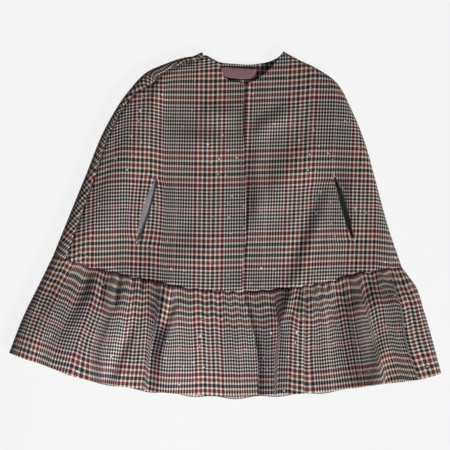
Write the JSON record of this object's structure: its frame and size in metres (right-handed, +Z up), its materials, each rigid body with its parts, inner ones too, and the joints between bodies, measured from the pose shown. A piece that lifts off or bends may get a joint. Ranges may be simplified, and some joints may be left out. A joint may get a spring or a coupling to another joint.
{
  "type": "girl's check cape",
  "caption": "Child's round-neck check cape laid flat on its back, front edges lapped at the centre, a slanted arm slit in each front and a gathered ruffle at the hem.",
  "frame": {"origin": "on the surface the cape lies on, under the middle of its bounding box", "axes": "+Z up from the surface, through the back and out of the front; +Y towards the neck; +X towards the viewer's right when looking down on the front"},
  "size_m": [0.614, 0.4948, 0.0204],
  "materials": {
    "check_cloth": "matte woven",
    "lining_cloth": "satin woven",
    "label_cloth": "matte woven"
  },
  "bodies": {
    "root": {"back": "check_cloth", "front_left": "check_cloth", "front_right": "check_cloth", "ruffle_back": "check_cloth", "ruffle_front_left": "check_cloth", "ruffle_front_right": "check_cloth", "back_lining": "lining_cloth", "neck_facing": "check_cloth", "label": "label_cloth"}
  },
  "joints": []
}
